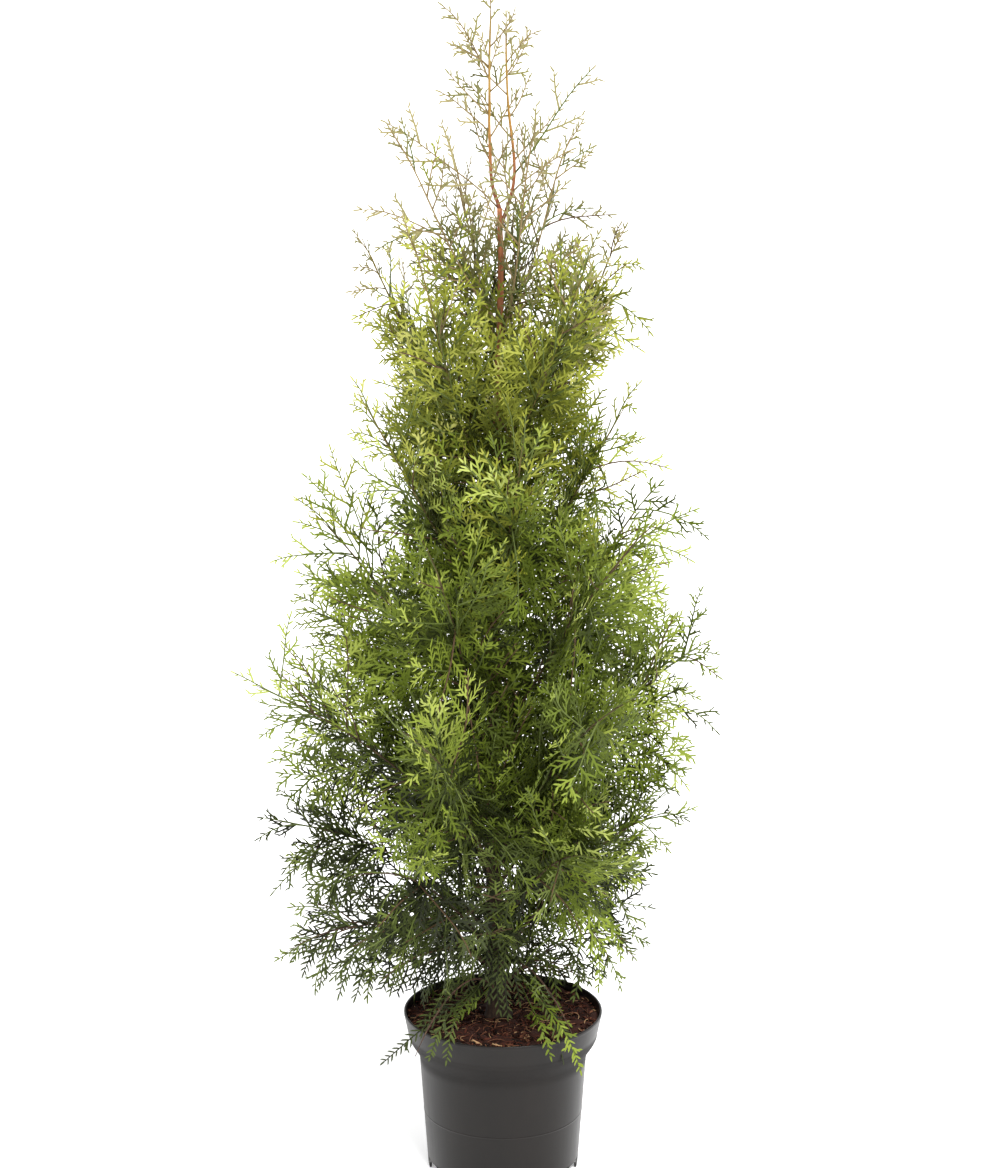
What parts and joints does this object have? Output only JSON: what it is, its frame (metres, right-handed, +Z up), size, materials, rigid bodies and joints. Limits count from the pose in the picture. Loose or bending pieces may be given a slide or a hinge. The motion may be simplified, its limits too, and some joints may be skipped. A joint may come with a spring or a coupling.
{
  "type": "potted thuja",
  "caption": "Slender evergreen conifer with flat feathery sprays on tiers of upswept boughs, standing in a round plastic nursery pot filled with bark potting mix.",
  "frame": {"origin": "centre of the pot's flat underside", "axes": "+Z up along the pot's axis, -Y towards the front of the plant, +X to the right seen from the front"},
  "size_m": [0.5433, 0.5415, 1.348],
  "materials": {
    "pot_plastic": "satin charcoal",
    "potting_mix": "loose bark",
    "bark": "reddish bark",
    "leaf_low": "dark green scale leaves",
    "leaf_middle": "green scale leaves",
    "leaf_upper": "yellow-green scale leaves",
    "leaf_leader": "yellow to orange young shoots"
  },
  "bodies": {
    "root": {"bough_low_1": "bark", "bough_low_2": "bark", "bough_low_3": "bark", "bough_low_4": "bark", "bough_low_5": "bark", "bough_low_6": "bark", "bough_lower_middle_1": "bark", "bough_lower_middle_2": "bark", "bough_lower_middle_3": "bark", "bough_lower_middle_4": "bark", "bough_lower_middle_5": "bark", "bough_lower_middle_6": "bark", "bough_middle_1": "bark", "bough_middle_2": "bark", "bough_middle_3": "bark", "bough_middle_4": "bark", "bough_middle_5": "bark", "foliage_crown_1": "leaf_upper", "foliage_crown_2": "leaf_upper", "foliage_crown_3": "leaf_upper", "foliage_crown_4": "leaf_upper", "foliage_leader": "leaf_leader", "foliage_low_1": "leaf_low", "foliage_low_2": "leaf_low", "foliage_low_3": "leaf_low", "foliage_low_4": "leaf_low", "foliage_low_5": "leaf_low", "foliage_low_6": "leaf_low", "foliage_lower_middle_1": "leaf_middle", "foliage_lower_middle_2": "leaf_middle", "foliage_lower_middle_3": "leaf_middle", "foliage_lower_middle_4": "leaf_middle", "foliage_lower_middle_5": "leaf_middle", "foliage_lower_middle_6": "leaf_middle", "foliage_middle_1": "leaf_middle", "foliage_middle_2": "leaf_middle", "foliage_middle_3": "leaf_middle", "foliage_middle_4": "leaf_middle", "foliage_middle_5": "leaf_middle", "foliage_second_leader": "leaf_leader", "foliage_skirt_1": "leaf_low", "foliage_skirt_2": "leaf_low", "foliage_skirt_3": "leaf_low", "foliage_skirt_4": "leaf_low", "foliage_skirt_5": "leaf_low", "foliage_skirt_6": "leaf_low", "foliage_top_1": "leaf_upper", "foliage_top_2": "leaf_upper", "foliage_top_3": "leaf_upper", "foliage_top_4": "leaf_upper", "foliage_top_5": "leaf_upper", "foliage_upper_1": "leaf_upper", "foliage_upper_2": "leaf_upper", "foliage_upper_3": "leaf_upper", "foliage_upper_4": "leaf_upper", "foliage_upper_5": "leaf_upper", "pot": "pot_plastic", "potting_mix": "potting_mix", "trunk": "bark"}
  },
  "joints": []
}
